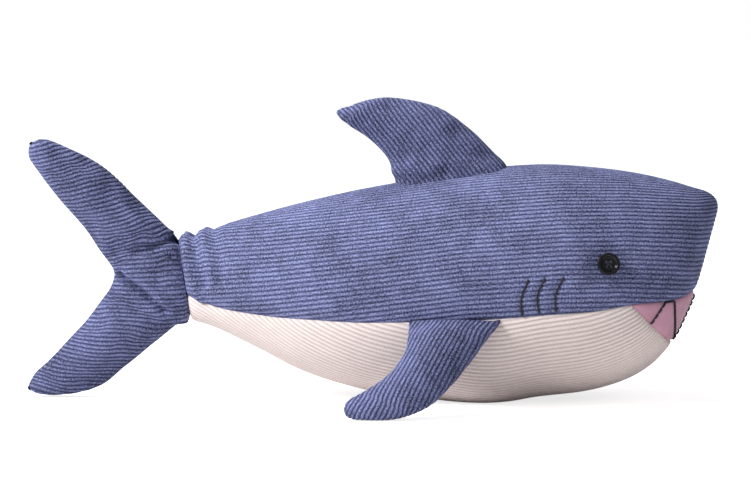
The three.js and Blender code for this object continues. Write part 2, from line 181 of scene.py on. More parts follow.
def smooth(share):
    """Shares from 0 to 1, eased at both ends."""
    share = np.clip(share, 0, 1)
    return share * share * (3 - 2 * share)


def angle_at(share):
    """The angle round a section, from -90 degrees at the keel to 90 at the back, at a share of its height."""
    share = np.asarray(share, float)
    below = share / WIDEST - 1
    above = (share - WIDEST) / (1 - WIDEST)
    return np.arcsin(np.clip(np.where(share < WIDEST, below, above), -1, 1))


def seam_angle(section):
    return angle_at(np.maximum(through(BODY, section)[..., 5], 0))


def lip_angle(section):
    places, shares = np.array(LOWER_LIP).T
    return angle_at(np.interp(section, places, shares))


def pressed_flat(height, softness):
    """Heights over the ground, with what would sink into it turned level."""
    return (height + np.sqrt(height**2 + softness**2)) / 2


def body_shape(section, angle, side):
    """Points of the plain stuffed body, in metres."""
    row = through(BODY, section)
    below = angle < 0
    share = WIDEST + np.where(below, WIDEST, 1 - WIDEST) * np.sin(angle)
    x = row[..., 2] + (row[..., 0] - row[..., 2]) * share
    z = row[..., 3] + (row[..., 1] - row[..., 3]) * share
    y = row[..., 4] * np.clip(np.cos(angle), 0, 1) ** np.where(below, BELLY_FULLNESS, 1)
    x = x - NECK_SLANT * share * np.clip(1 - section, 0, 1) ** 2
    return np.stack([x, side * y, pressed_flat(z, 1.2)], axis=-1) * MM


# Round a section, the cloth is numbered from 0 at the keel to 1 at the side seam and 2 at the back seam.
def round_angle(section, ring):
    seam = seam_angle(section)
    low = -math.pi / 2 + (seam + math.pi / 2) * ring
    high = seam + (math.pi / 2 - seam) * (ring - 1)
    return np.where(ring < 1, low, high)


def ring_at(section, angle):
    seam = seam_angle(section)
    low = (angle + math.pi / 2) / np.maximum(seam + math.pi / 2, 1e-9)
    high = 1 + (angle - seam) / (math.pi / 2 - seam)
    return np.where(angle < seam, low, high)


# ---- Stuffing the cloth ----
# Two sheets are sewn together along their long edges, the thread draws the seams in, and the filling presses
# from inside. What the cloth does beyond its plain shape is kept as small swells and puckers of each sheet.
CLOTH_QUALITY = 5
CLOTH_MASS = 0.3
STUFFING_PRESSURE = 4
STUFFING_TIME = 20
SEAM_DRAW = 0.12  # how much shorter the thread draws a seam
EVENING_ROUNDS = 12


def grid_quads(number):
    """The four corner numbers of each cell in a grid of point numbers."""
    corners = [number[:-1, :-1], number[1:, :-1], number[1:, 1:], number[:-1, 1:]]
    return np.stack(corners, axis=-1).reshape(-1, 4)


def stuffed_sheets(right, left, held, cap):
    """How far each point of two sheets moves when they are sewn and stuffed, without the even swelling."""
    rows, columns = right.shape[:2]
    number = np.arange(rows * columns).reshape(rows, columns)
    other = number + number.size
    other[:, 0], other[:, -1], other[-1] = number[:, 0], number[:, -1], number[-1]
    points = np.concatenate([right.reshape(-1, 3), left.reshape(-1, 3)])
    quads = np.concatenate([grid_quads(number), grid_quads(other)[:, ::-1]])
    mesh = bpy.data.meshes.new("sewn_sheets")
    mesh.from_pydata(points.tolist(), [], quads.tolist())
    mesh.update()
    cloth_object = bpy.data.objects.new("sewn_sheets", mesh)
    bpy.context.collection.objects.link(cloth_object)
    seams = cloth_object.vertex_groups.new(name="seams")
    seams.add([int(k) for k in np.unique(np.concatenate([number[:, 0], number[:, -1]]))], 1, "REPLACE")
    pinned = cloth_object.vertex_groups.new(name="held")
    held_numbers = np.concatenate([number[held], other[held]])
    pinned.add([int(k) for k in np.unique(held_numbers)], 1, "REPLACE")
    settings = cloth_object.modifiers.new("Cloth", "CLOTH").settings
    settings.quality = CLOTH_QUALITY
    settings.mass = CLOTH_MASS
    settings.effector_weights.gravity = 0
    settings.use_pressure = True
    settings.uniform_pressure_force = STUFFING_PRESSURE
    settings.vertex_group_mass = "held"
    settings.vertex_group_shrink = "seams"
    settings.shrink_min = 0
    settings.shrink_max = SEAM_DRAW
    for moment in range(1, STUFFING_TIME + 1):
        bpy.context.scene.frame_set(moment)
    evaluated = cloth_object.evaluated_get(bpy.context.evaluated_depsgraph_get())
    moved = np.empty(len(points) * 3)
    evaluated.data.vertices.foreach_get("co", moved)
    bpy.context.scene.frame_set(1)
    bpy.data.objects.remove(cloth_object)
    bpy.data.meshes.remove(mesh)
    shift = moved.reshape(-1, 3) - points
    swells = []
    for sheet in (number, other):
        swell = shift[sheet]
        even = swell.copy()
        for _ in range(EVENING_ROUNDS):
            for axis in (0, 1):
                wide = np.concatenate([even.take([0], axis), even, even.take([-1], axis)], axis)
                length = even.shape[axis]
                neighbours = wide.take(range(length), axis) + wide.take(range(2, length + 2), axis)
                even = (2 * even + neighbours) / 4
        loose = swell - even
        size = np.linalg.norm(loose, axis=-1, keepdims=True)
        swells.append(loose * np.minimum(1, cap / np.maximum(size, 1e-9)))
    return swells


def fine_grid(swell, finer=6):
    """A coarse grid of shifts, smoothly refined for lookups between its points."""
    rows, columns = swell.shape[:2]
    swell = through(swell, np.linspace(0, rows - 1, (rows - 1) * finer + 1))
    swell = through(swell.swapaxes(0, 1), np.linspace(0, columns - 1, (columns - 1) * finer + 1))
    return swell.swapaxes(0, 1)


def look_up(grid, row, column):
    """A fine grid read at shares, from 0 to 1, of its rows and columns."""
    row = np.clip(row, 0, 1) * (grid.shape[0] - 1)
    column = np.clip(column, 0, 1) * (grid.shape[1] - 1)
    i = np.minimum(row.astype(int), grid.shape[0] - 2)
    j = np.minimum(column.astype(int), grid.shape[1] - 2)
    a, b = (row - i)[..., None], (column - j)[..., None]
    low = grid[i, j] * (1 - b) + grid[i, j + 1] * b
    high = grid[i + 1, j] * (1 - b) + grid[i + 1, j + 1] * b
    return low * (1 - a) + high * a


BELLY_CELLS, SIDE_CELLS, BODY_CELLS = 8, 12, 56
rings = np.concatenate([np.linspace(0, 1, BELLY_CELLS + 1), 1 + np.linspace(0, 1, SIDE_CELLS + 1)[1:]])
sections, ring_grid = np.meshgrid(np.linspace(0, SNOUT, BODY_CELLS + 1), rings, indexing="ij")
body_sheets = [body_shape(sections, round_angle(sections, ring_grid), side) for side in (RIGHT, LEFT)]
held = np.zeros(sections.shape, bool)
held[0] = True
body_swell = stuffed_sheets(*body_sheets, held, cap=2.5 * MM)
body_swell = dict(zip((RIGHT, LEFT), (fine_grid(swell) for swell in body_swell)))


def body_cloth(section, ring, side):
    """Points of the sewn and stuffed body."""
    ring = np.asarray(ring, float)
    section = np.broadcast_to(np.asarray(section, float), ring.shape)
    cells = BELLY_CELLS + SIDE_CELLS
    column = np.where(ring < 1, ring * BELLY_CELLS, BELLY_CELLS + (ring - 1) * SIDE_CELLS) / cells
    plain = body_shape(section, round_angle(section, ring), side)
    return plain + look_up(body_swell[side], section / SNOUT, column)


FACING_STEP = 2e-3


def facing(surface, a, b, side):
    """Points of a surface and its outward directions."""
    forward = surface(a + FACING_STEP, b, side) - surface(a - FACING_STEP, b, side)
    up = surface(a, b + FACING_STEP, side) - surface(a, b - FACING_STEP, side)
    out = np.cross(forward, up) * -side
    return surface(a, b, side), out / np.maximum(np.linalg.norm(out, axis=-1, keepdims=True), 1e-12)


# ---- Corduroy ----
# The cloth has ribs of cut pile, called wales, with narrow grooves between them. Each sheet's rows of points
# follow the wales, and a UV map keeps the wale number and the distance along it for the pile's colour.
WALE_PITCH = 2.29 * MM
GROOVE_DEPTH = 0.5 * MM
BELLY_GROOVE_DEPTH = 0.45 * MM
RIB_FULLNESS = 0.6  # below 1 the ribs are fuller than a plain wave
SEWN_DOWN = 0.8 * MM  # the width by a seam where the pile is pressed down
SIDE_SEAM = (1.3 * MM, 1.7 * MM)  # how deep a seam sinks, and how wide
BACK_SEAM = (0.8 * MM, 1.5 * MM)
NECK_SEAM = (2.4 * MM, 1.6 * MM)
ROWS_IN_WALE = (0, 0.1, 0.22, 0.36, 0.5, 0.64, 0.78, 0.9)


def wale_rows(lowest, highest):
    """The distances, across the wales, of the rows of points between two distances."""
    wales = np.arange(math.floor(lowest / WALE_PITCH) - 1, math.ceil(highest / WALE_PITCH) + 2)
    return (wales[:, None] + np.array(ROWS_IN_WALE)).ravel() * WALE_PITCH


def wale_height(across, edge_distance, depth=GROOVE_DEPTH):
    """How far the pile stands off, which fades out where the cloth is sewn."""
    rib = np.abs(np.sin(math.pi * across / WALE_PITCH)) ** RIB_FULLNESS - 1
    return depth * (rib + 0.5) * np.clip(edge_distance / SEWN_DOWN, 0, 1)


def sunk(edge_distance, depth, width):
    """How far the cloth is drawn in near a seam."""
    return depth * np.exp(-edge_distance / width)


def trimmed_rows(low, high, across):
    """Rows of points cut off at each column's two edges: the columns, the distances across and the faces."""
    near = 0.2 * (across[1] - across[0])
    inner = (across > low[:, None] + near) & (across < high[:, None] - near)
    columns = len(low)
    number = np.full(inner.shape, -1)
    number[inner] = np.arange(inner.sum()) + 2 * columns
    below = across <= low[:, None] + near
    at_edge = np.where(below, 0, columns) + np.arange(columns)[:, None]
    number = np.where(inner, number, at_edge)
    column = np.concatenate([np.arange(columns), np.arange(columns), np.nonzero(inner)[0]])
    distance = np.concatenate([low, high, across[np.nonzero(inner)[1]]])
    return column, distance, distinct_corners(grid_quads(number))


def read_tables(column, distance, tables):
    """What each column's own table of distances and values gives at the points' distances."""
    value = np.empty(len(column))
    for k, (distances, values) in enumerate(tables):
        here = column == k
        value[here] = np.interp(distance[here], distances, values)
    return value


def distinct_corners(quads):
    """Drops repeated corners, and faces left with fewer than three."""
    same_start = quads[:, 0] == quads[:, 3]
    same_end = quads[:, 1] == quads[:, 2]
    whole = quads[~same_start & ~same_end].tolist()
    whole += quads[same_start & ~same_end][:, [0, 1, 2]].tolist()
    whole += quads[~same_start & same_end][:, [0, 1, 3]].tolist()
    return whole


def cloth_piece(name, points, out, faces, wale, allowance=3 * MM):
    """Makes a sheet of cloth. Its open edges turn in as a seam allowance, so no gap shows along a seam."""
    edges = np.array([(face[k], face[(k + 1) % len(face)]) for face in faces for k in range(len(face))])
    key = np.sort(edges, axis=1)
    _, first, count = np.unique(key, axis=0, return_index=True, return_counts=True)
    open_edges = edges[first[count == 1]]
    rim = np.unique(open_edges)
    turned = dict(zip(rim.tolist(), range(len(points), len(points) + len(rim))))
    hem = [[b, a, turned[a], turned[b]] for a, b in open_edges.tolist()]
    points = np.concatenate([points, points[rim] - out[rim] * allowance])
    wale = np.concatenate([wale, wale[rim]])
    mesh = bpy.data.meshes.new(name)
    mesh.from_pydata(points.tolist(), [], faces + hem)
    first_face = faces[len(faces) // 2]
    a, b, c = (points[k] for k in first_face[:3])
    if np.dot(np.cross(b - a, c - a), out[first_face[0]]) < 0:
        mesh.flip_normals()
    corners = np.empty(len(mesh.loops), int)
    mesh.loops.foreach_get("vertex_index", corners)
    mesh.uv_layers.new(name="wales").data.foreach_set("uv", wale[corners].astype(np.float32).ravel())
    mesh.shade_smooth()
    piece = bpy.data.objects.new(name, mesh)
    bpy.context.collection.objects.link(piece)
    return piece


def corduroy(name, rib, groove_shade, nap, blotch, sheen):
    """Ribbed pile: light rib tops, grooves darkened with painted shade, tufts that catch the light, and a nap
    that lies unevenly.
    """
    material, shader = new_material(name, rib, 0.88)
    nodes, link = material.node_tree.nodes, material.node_tree.links.new
    shader.inputs["Specular IOR Level"].default_value = 0.25
    shader.inputs["Sheen Weight"].default_value = sheen
    shader.inputs["Sheen Roughness"].default_value = 0.45
    shader.inputs["Sheen Tint"].default_value = rib

    def add(kind, **values):
        node = nodes.new(kind)
        for key, value in values.items():
            setattr(node, key, value)
        return node

    def noise(coordinates, scale, detail):
        node = add("ShaderNodeTexNoise")
        node.inputs["Scale"].default_value = scale
        node.inputs["Detail"].default_value = detail
        link(coordinates, node.inputs["Vector"])
        return node.outputs["Fac"]

    def spread(value, low, high, to_low, to_high):
        node = add("ShaderNodeMapRange", interpolation_type="SMOOTHSTEP")
        for key, number in (("From Min", low), ("From Max", high), ("To Min", to_low), ("To Max", to_high)):
            node.inputs[key].default_value = number
        link(value, node.inputs["Value"])
        return node.outputs["Result"]

    def combine(operation, a, b):
        node = add("ShaderNodeMath", operation=operation)
        for socket, value in zip(node.inputs, (a, b)):
            if isinstance(value, (int, float)):
                socket.default_value = value
            else:
                link(value, socket)
        return node.outputs[0]

    wales = add("ShaderNodeUVMap", uv_map="wales").outputs["UV"]
    parts = add("ShaderNodeSeparateXYZ")
    link(wales, parts.inputs[0])
    place = add("ShaderNodeTexCoord").outputs["Object"]
    wander = combine("MULTIPLY", combine("SUBTRACT", noise(wales, 0.9, 2), 0.5), 0.22)
    across = combine("FRACT", combine("ADD", parts.outputs["Y"], wander), 0)
    from_top = combine("MULTIPLY", combine("ABSOLUTE", combine("SUBTRACT", across, 0.5), 0), 2)
    groove_shade_mask = spread(from_top, 0.12, 0.9, 0, 1)
    tufts = spread(noise(wales, 2.7, 3), 0.3, 0.7, -nap, nap)
    blotches = spread(noise(place, 38, 3), 0.3, 0.7, -blotch, blotch)
    dips = spread(noise(place, 150, 2), 0.3, 0.7, -0.6 * blotch, 0.6 * blotch)
    value = combine("ADD", combine("ADD", combine("ADD", tufts, blotches), dips), 1)
    # Painted shade: the colour mixes from the rib's colour to the darker groove colour down into each groove.
    colour = add("ShaderNodeMix", data_type="RGBA")
    link(groove_shade_mask, colour.inputs["Factor"])
    colour.inputs["A"].default_value = rib
    colour.inputs["B"].default_value = groove_shade
    lit = add("ShaderNodeVectorMath", operation="SCALE")
    link(colour.outputs["Result"], lit.inputs[0])
    link(value, lit.inputs["Scale"])
    link(lit.outputs[0], shader.inputs["Base Color"])
    pile = add("ShaderNodeBump")
    pile.inputs["Strength"].default_value = 0.6
    pile.inputs["Distance"].default_value = 0.25 * MM
    link(combine("ADD", noise(wales, 4.5, 3), noise(place, 2600, 2)), pile.inputs["Height"])
    link(pile.outputs[0], shader.inputs["Normal"])
    return material


# Each cloth's second colour is its groove colour, darkened as painted shade.
blue_corduroy = corduroy(
    "blue_corduroy", paint(121, 126, 165), paint(74, 79, 116), nap=0.65, blotch=0.16, sheen=0.3)
# The fins and tail get a copy of the blue cloth in darker colours: painted shade.
shaded_fin_corduroy = corduroy(
    "shaded_blue_corduroy", paint(108, 113, 151), paint(63, 67, 101), nap=0.65, blotch=0.2, sheen=0.2)
cream_corduroy = corduroy(
    "cream_corduroy", paint(238, 225, 222), paint(210, 196, 193), nap=0.05, blotch=0.02, sheen=0.1)

# ---- Side panels ----
# The blue cloth of each flank, from the side seam up to the back seam and round to the snout seam. It bunches
# into folds where the tail is sewn on, and sinks in round the eye and under the gill stitches.
COLUMN_STEP = 1.7 * MM
LENGTH_STEPS, ACROSS_STEPS = 1500, 240  # points that measure the cloth along and across the flank
FLANK_RING, BELLY_RING = 1.15, 0.4  # where its length is measured
LEFT_SLIP = (1.5, 2)  # how far the left side's folds lie from the right's
WALE_LINE = (  # where one wale runs along the flank: [x, z]
    (-97, 65.6), (-54.5, 69.9), (-17, 74.9), (46.5, 83.5), (97, 87.2), (131, 87.5), (157, 86), (184, 83.5))
EYE = (8.22, 0.603)  # section and height share
EYE_DENT = (2.6 * MM, 9 * MM)  # depth and radius
NECK_FOLDS = (  # [x, z] points, depth, half width
    (((-100.5, 86), (-98.6, 74), (-93.4, 58), (-90.5, 51)), -1.8, 1.9),
    (((-95.5, 88), (-92.5, 74), (-88.8, 62)), 2.6, 2),
    (((-90, 88), (-86.5, 74), (-84, 64)), -1.4, 2.6),
    (((-84, 88), (-81, 76), (-80, 66)), 1.8, 3),
)
GILLS = {"rear": (6.62, 6.6, 6.72), "middle": (6.92, 6.88, 7.01), "front": (7.23, 7.21, 7.35)}
GILL_FOOT, GILL_TOP = 0.408, 0.555  # height shares
GILL_STEPS = 25
GILL_DENT = (0.8 * MM, 1.3 * MM)


def distance_to_line(points, line):
    """Distances of flat points from a line of straight stretches."""
    best = np.full(len(points), np.inf)
    for a, b in zip(line[:-1], line[1:]):
        along = b - a
        share = np.clip(((points - a) @ along) / (along @ along), 0, 1)
        best = np.minimum(best, np.linalg.norm(points - a - share[:, None] * along, axis=1))
    return best


def fold_depth(points, folds):
    """How far soft folds press into cloth at flat points, in millimetres for lines and widths alike."""
    depth = np.zeros(len(points))
    for line, deep, wide in folds:
        near = distance_to_line(points, np.array(line, float))
        depth += deep * np.exp(-((near / wide) ** 2))
    return depth


def gill_line(sections):
    """Section and ring numbers down a gill's stitched line."""
    section = through(np.array(sections)[:, None], np.linspace(0, len(sections) - 1, GILL_STEPS))[:, 0]
    share = np.linspace(GILL_FOOT, GILL_TOP, GILL_STEPS)
    return section, ring_at(section, angle_at(share))


def even_columns(first, last, ring):
    """Section numbers that lie evenly along the flank."""
    dense = np.linspace(first, last, LENGTH_STEPS)
    line = body_cloth(dense, np.full(dense.shape, ring), RIGHT)
    run = np.concatenate([[0], np.cumsum(np.linalg.norm(np.diff(line, axis=0), axis=1))])
    steps = round(run[-1] / COLUMN_STEP)
    return np.interp(np.linspace(0, run[-1], steps + 1), run, dense), run[-1] / steps


def cloth_across(section, low, high):
    """Angles across a section, and the cloth's distance from the first of them."""
    angle = low + (high - low) * np.linspace(0, 1, ACROSS_STEPS)
    line = body_shape(np.full(angle.shape, section), angle, RIGHT)
    run = np.concatenate([[0], np.cumsum(np.linalg.norm(np.diff(line, axis=0), axis=1))])
    return angle, run / WALE_SPREAD


def side_panel(name, side):
    columns, step = even_columns(0, SNOUT, FLANK_RING)
    low, high, tables = [], [], []
    wale_x, wale_z = np.array(WALE_LINE).T
    for section in columns:
        angle, distance = cloth_across(section, float(seam_angle(section)), math.pi / 2)
        line = body_shape(np.full(angle.shape, section), angle, RIGHT)
        above_wale = line[:, 2] - np.interp(line[:, 0], wale_x * MM, wale_z * MM)
        start = np.interp(0, above_wale, distance)
        tables.append((distance - start, angle))
        low.append(-start)
        high.append(distance[-1] - start)
    low, high = np.array(low), np.array(high)
    column, across, faces = trimmed_rows(low, high, wale_rows(low.min(), high.max()))
    angle = read_tables(column, across, tables)
    section = columns[column]
    ring = np.clip(ring_at(section, angle), 1, 2)
    points, out = facing(body_cloth, section, ring, side)

    from_side_seam = across - low[column]
    from_back_seam = high[column] - across
    from_snout = (len(columns) - 1 - column) * step
    from_neck = column * step
    edge = np.minimum(np.minimum(from_side_seam, from_back_seam), np.minimum(from_snout, from_neck))
    lift = wale_height(across, edge)
    lift -= sunk(from_side_seam, *SIDE_SEAM) + sunk(from_neck, *NECK_SEAM)
    lift -= sunk(from_back_seam, *BACK_SEAM) + sunk(from_snout, *BACK_SEAM)
    slip = (0, 0) if side == RIGHT else LEFT_SLIP
    lift -= MM * fold_depth(points[:, [0, 2]] / MM - slip, NECK_FOLDS)
    eye = body_cloth(np.array(EYE[0]), ring_at(EYE[0], angle_at(EYE[1])), side)
    lift -= EYE_DENT[0] * np.exp(-((np.linalg.norm(points - eye, axis=1) / EYE_DENT[1]) ** 2))
    for sections_of_gill in GILLS.values():
        line = body_cloth(*gill_line(sections_of_gill), side)[:, [0, 2]]
        near = distance_to_line(points[:, [0, 2]], line)
        lift -= GILL_DENT[0] * np.exp(-((near / GILL_DENT[1]) ** 2))
    wale = np.stack([column * step / WALE_PITCH, across / WALE_PITCH], axis=1)
    panel = cloth_piece(name, points + out * lift[:, None], out, faces, wale)
    panel.data.materials.append(blue_corduroy)
    return panel


for word, side in (("right", RIGHT), ("left", LEFT)):
    panel = side_panel(f"{word}_flank", side)
    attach(panel, "body")
    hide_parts(f"side_panel_{word}")

# ---- Belly panel ----
# One cream piece from side seam to side seam, with its wales running along the keel. The shark's weight
# presses it flat where it rests.


CHIN_MARGIN = 0.02
BELLY_CLEARANCE = 0.1 * MM


def belly_panel():
    columns, step = even_columns(0, CHIN - CHIN_MARGIN, BELLY_RING)
    high, tables = [], []
    for section in columns:
        edge = seam_angle(section) if section < MOUTH_CORNER else lip_angle(section)
        angle, distance = cloth_across(section, -math.pi / 2, float(edge))
        tables.append((distance, angle))
        high.append(distance[-1])
    high = np.array(high)
    column, across, faces = trimmed_rows(-high, high, wale_rows(-high.max(), high.max()))
    angle = read_tables(column, np.abs(across), tables)
    section = columns[column]
    ring = np.clip(ring_at(section, angle), 0, 1)
    points, out = np.empty((len(column), 3)), np.empty((len(column), 3))
    for side, here in ((RIGHT, across >= 0), (LEFT, across < 0)):
        points[here], out[here] = facing(body_cloth, section[here], ring[here], side)
    from_side_seam = high[column] - np.abs(across)
    from_neck = column * step
    lift = wale_height(across, np.minimum(from_side_seam, from_neck), BELLY_GROOVE_DEPTH)
    lift -= sunk(from_side_seam, *SIDE_SEAM) + sunk(from_neck, *NECK_SEAM)
    wale = np.stack([column * step / WALE_PITCH, across / WALE_PITCH], axis=1)
    placed = points + out * lift[:, None]
    placed[:, 2] = np.maximum(placed[:, 2], BELLY_CLEARANCE)
    return cloth_piece("belly", placed, out, faces, wale)


belly = belly_panel()
belly.data.materials.append(cream_corduroy)
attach(belly, "body")
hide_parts("belly_panel", "body_stuffing")

# ---- Mouth panel ----
# Smooth plain-woven pink cotton, let in between the belly and the two flanks. It pulls tight round the front
# of the snout and sinks in along its seams.
MOUTH_CELLS = (72, 28)
MOUTH_END = 0.012  # where the panel's pointed corner is cut off


def mouth_place(u, v):
    """Section and ring numbers on the mouth's right half: u from corner to middle, v from lip to seam."""
    lower, upper = MOUTH_CORNER + (CHIN - MOUTH_CORNER) * u, MOUTH_CORNER + (SNOUT - MOUTH_CORNER) * u
    section = lower + (upper - lower) * v
    angle = lip_angle(lower) + (seam_angle(upper) - lip_angle(lower)) * v
    return section, np.clip(ring_at(section, angle), 0, 1)


def mouth_point(u, v, side):
    """Points on the mouth and its outward directions. The panel sinks in along its seams."""
    section, ring = mouth_place(u, v)
    points, out = facing(body_cloth, section, ring, side)
    upper_edge, lower_edge = mouth_place(u, np.ones_like(v)), mouth_place(u, np.zeros_like(v))
    height = np.linalg.norm(body_cloth(*upper_edge, side) - body_cloth(*lower_edge, side), axis=-1)
    from_seam = np.minimum(v, 1 - v) * height
    return points - out * sunk(from_seam, *SIDE_SEAM)[..., None], out


def mouth_panel():
    steps, rows = MOUTH_CELLS
    across, up = np.linspace(MOUTH_END, 1, steps // 2 + 1), np.linspace(0, 1, rows + 1)
    u, v = np.meshgrid(across, up, indexing="ij")
    right, right_out = mouth_point(u, v, RIGHT)
    left, left_out = mouth_point(u, v, LEFT)
    points = np.concatenate([right, left[-2::-1]])
    out = np.concatenate([right_out, left_out[-2::-1]])
    points[steps // 2, :, 1] = 0
    number = np.arange(points.shape[0] * points.shape[1]).reshape(points.shape[:2])
    faces = grid_quads(number).tolist()
    weave = np.stack(np.meshgrid(np.linspace(0, 1, steps + 1), up, indexing="ij"), -1)
    flat = [array.reshape(-1, array.shape[-1]) for array in (points, out, weave)]
    return cloth_piece("mouth", flat[0], flat[1], faces, flat[2])


mouth = mouth_panel()
pink_cotton, pink_shader = new_material("pink_cotton", paint(192, 142, 163), 0.8)
pink_nodes, pink_link = pink_cotton.node_tree.nodes, pink_cotton.node_tree.links.new
pink_shader.inputs["Sheen Weight"].default_value = 0.15
pink_place = pink_nodes.new("ShaderNodeTexCoord").outputs["Object"]
pink_noise = pink_nodes.new("ShaderNodeTexNoise")
pink_noise.inputs["Scale"].default_value = 120
pink_noise.inputs["Detail"].default_value = 4
pink_link(pink_place, pink_noise.inputs["Vector"])
pink_ramp = pink_nodes.new("ShaderNodeValToRGB")
pink_ramp.color_ramp.elements[0].color = paint(178, 128, 148)
pink_ramp.color_ramp.elements[1].color = paint(206, 156, 178)
pink_link(pink_noise.outputs["Fac"], pink_ramp.inputs["Fac"])
pink_link(pink_ramp.outputs["Color"], pink_shader.inputs["Base Color"])
threads = pink_nodes.new("ShaderNodeTexVoronoi")
threads.inputs["Scale"].default_value = 2400
pink_link(pink_place, threads.inputs["Vector"])
pink_bump = pink_nodes.new("ShaderNodeBump")
pink_bump.inputs["Strength"].default_value = 0.3
pink_bump.inputs["Distance"].default_value = 0.1 * MM
pink_link(threads.outputs["Distance"], pink_bump.inputs["Height"])
pink_link(pink_bump.outputs[0], pink_shader.inputs["Normal"])
mouth.data.materials.append(pink_cotton)
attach(mouth, "body")
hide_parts("mouth_panel")

# ---- Stitches ----
# Gills and teeth are lines of back stitches in doubled dark thread. Each stitch lies on the cloth and dives
# in at both its ends.
THREAD = 0.55 * MM
GILL_STITCHES = 6
TOOTH_STITCH = 3.2 * MM
dark_thread, _ = new_material("dark_thread", paint(30, 27, 36), 0.7)


def stitch(place, out, radius=THREAD, sides=8):
    """Points and faces of one thread through places. out points off the cloth, and the ends sink in."""
    count = len(place)
    share = np.linspace(-1, 1, count)
    centre = place + out * (radius * (1.1 - 2.4 * share**6))[:, None]
    along = np.gradient(centre, axis=0)
    across = np.cross(along, out)
    across /= np.linalg.norm(across, axis=1, keepdims=True)
    up = np.cross(across, along)
    up /= np.linalg.norm(up, axis=1, keepdims=True)
    turn = np.arange(sides) * 2 * math.pi / sides
    thick = radius * np.sqrt(np.maximum(1 - 0.6 * share**8, 0.05))[:, None, None]
    ring = up[:, None] * np.cos(turn)[:, None] + across[:, None] * np.sin(turn)[:, None]
    points = (centre[:, None] + thick * ring).reshape(-1, 3)
    faces = []
    for i in range(0, (count - 1) * sides, sides):
        for k in range(sides):
            following = (k + 1) % sides
            faces.append([i + k, i + following, i + sides + following, i + sides + k])
    faces += [list(range(sides))[::-1], list(range((count - 1) * sides, count * sides))]
    return points, faces


def thread_piece(name, stitches):
    points, faces, start = [], [], 0
    for stitch_points, stitch_faces in stitches:
        points.append(stitch_points)
        faces += [[k + start for k in face] for face in stitch_faces]
        start += len(stitch_points)
    mesh = bpy.data.meshes.new(name)
    mesh.from_pydata(np.concatenate(points).tolist(), [], faces)
    mesh.shade_smooth()
    mesh.materials.append(dark_thread)
    piece = bpy.data.objects.new(name, mesh)
    bpy.context.collection.objects.link(piece)
    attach(piece, "body")
    return piece


def stitch_line(surface, a, b, side, count, gap=0.05):
    """Stitches laid end to end along a line on a surface, which a and b run along."""
    share = np.linspace(0, 1, len(a))
    made = []
    for k in range(count):
        here = np.linspace(k + gap, k + 1 - gap, 9) / count
        made.append(stitch(*surface(np.interp(here, share, a), np.interp(here, share, b), side)))
    return made


def on_cloth(section, ring, side):
    points, out = facing(body_cloth, section, ring, side)
    return points - out * (0.9 * GILL_DENT[0]), out


for word, side in (("right", RIGHT), ("left", LEFT)):
    for place, sections_of_gill in GILLS.items():
        stitches = stitch_line(on_cloth, *gill_line(sections_of_gill), side, GILL_STITCHES)
        gill = thread_piece(f"{word}_{place}_gill", stitches)
        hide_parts(f"gill_stitch_{word}_{place}")

# Corners of one half of the zigzag of teeth, as u and v of the mouth's right half.
TEETH = ((0.302, 0.01), (0.24, 0.97), (0.324, 0.97), (0.985, 0.02), (1, 0.94))
TRIES_U, TRIES_V, NEAREST_TRIES = 160, 120, 4


def straight_on_mouth(start, end, side, steps=25):
    """u and v between two places on the mouth, along a line that is straight from the side."""
    ends = mouth_point(*np.array([start, end], float).T, side)[0]
    seam = ends[0] + (ends[1] - ends[0]) * np.linspace(0, 1, steps)[:, None]
    u, v = (grid.ravel() for grid in np.meshgrid(np.linspace(0, 1, TRIES_U), np.linspace(0, 1, TRIES_V)))
    cloth = mouth_point(u, v, side)[0]
    near = np.argsort((((seam[:, None] - cloth) ** 2)[..., [0, 2]]).sum(-1), axis=1)[:, :NEAREST_TRIES]
    return u[near].mean(1), v[near].mean(1)


teeth_stitches = []
for side in (RIGHT, LEFT):
    for start, end in zip(TEETH[:-1], TEETH[1:]):
        u, v = straight_on_mouth(start, end, side)
        length = np.linalg.norm(np.diff(mouth_point(u[[0, -1]], v[[0, -1]], side)[0], axis=0))
        teeth_stitches += stitch_line(mouth_point, u, v, side, max(1, round(length / TOOTH_STITCH)))
teeth = thread_piece("teeth", teeth_stitches)
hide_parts("teeth_stitching")

# ---- Button eyes ----
# Black four-hole buttons with a raised rim. The thread that crosses in their holes pulls them into the
# cheeks.
BUTTON_RADIUS, BUTTON_HEIGHT = 5.8 * MM, 2.4 * MM
RIM_WIDTH, WELL_DEPTH = 1.5 * MM, 1.1 * MM
WELL_SLOPE, BUTTON_ROUNDING = 0.7 * MM, 0.28 * MM
HOLES, HOLE_CIRCLE, HOLE_RADIUS = 4, 1.55 * MM, 0.72 * MM
BUTTON_SIDES, HOLE_SIDES = 64, 20
BUTTON_SINK = 0.5 * MM  # how far its thread pulls the button in
EYE_THREAD, STRAND_GAP, CROSSING_RISE, THREAD_DIVE = 0.3 * MM, 0.3 * MM, 0.35 * MM, 0.9 * MM
CROSSING_REACH, CROSSING_STEPS = 1.1 * HOLE_CIRCLE, 11
black_button, button_shader = new_material("black_button", paint(11, 11, 15), 0.2)
button_shader.inputs["Specular IOR Level"].default_value = 0.5


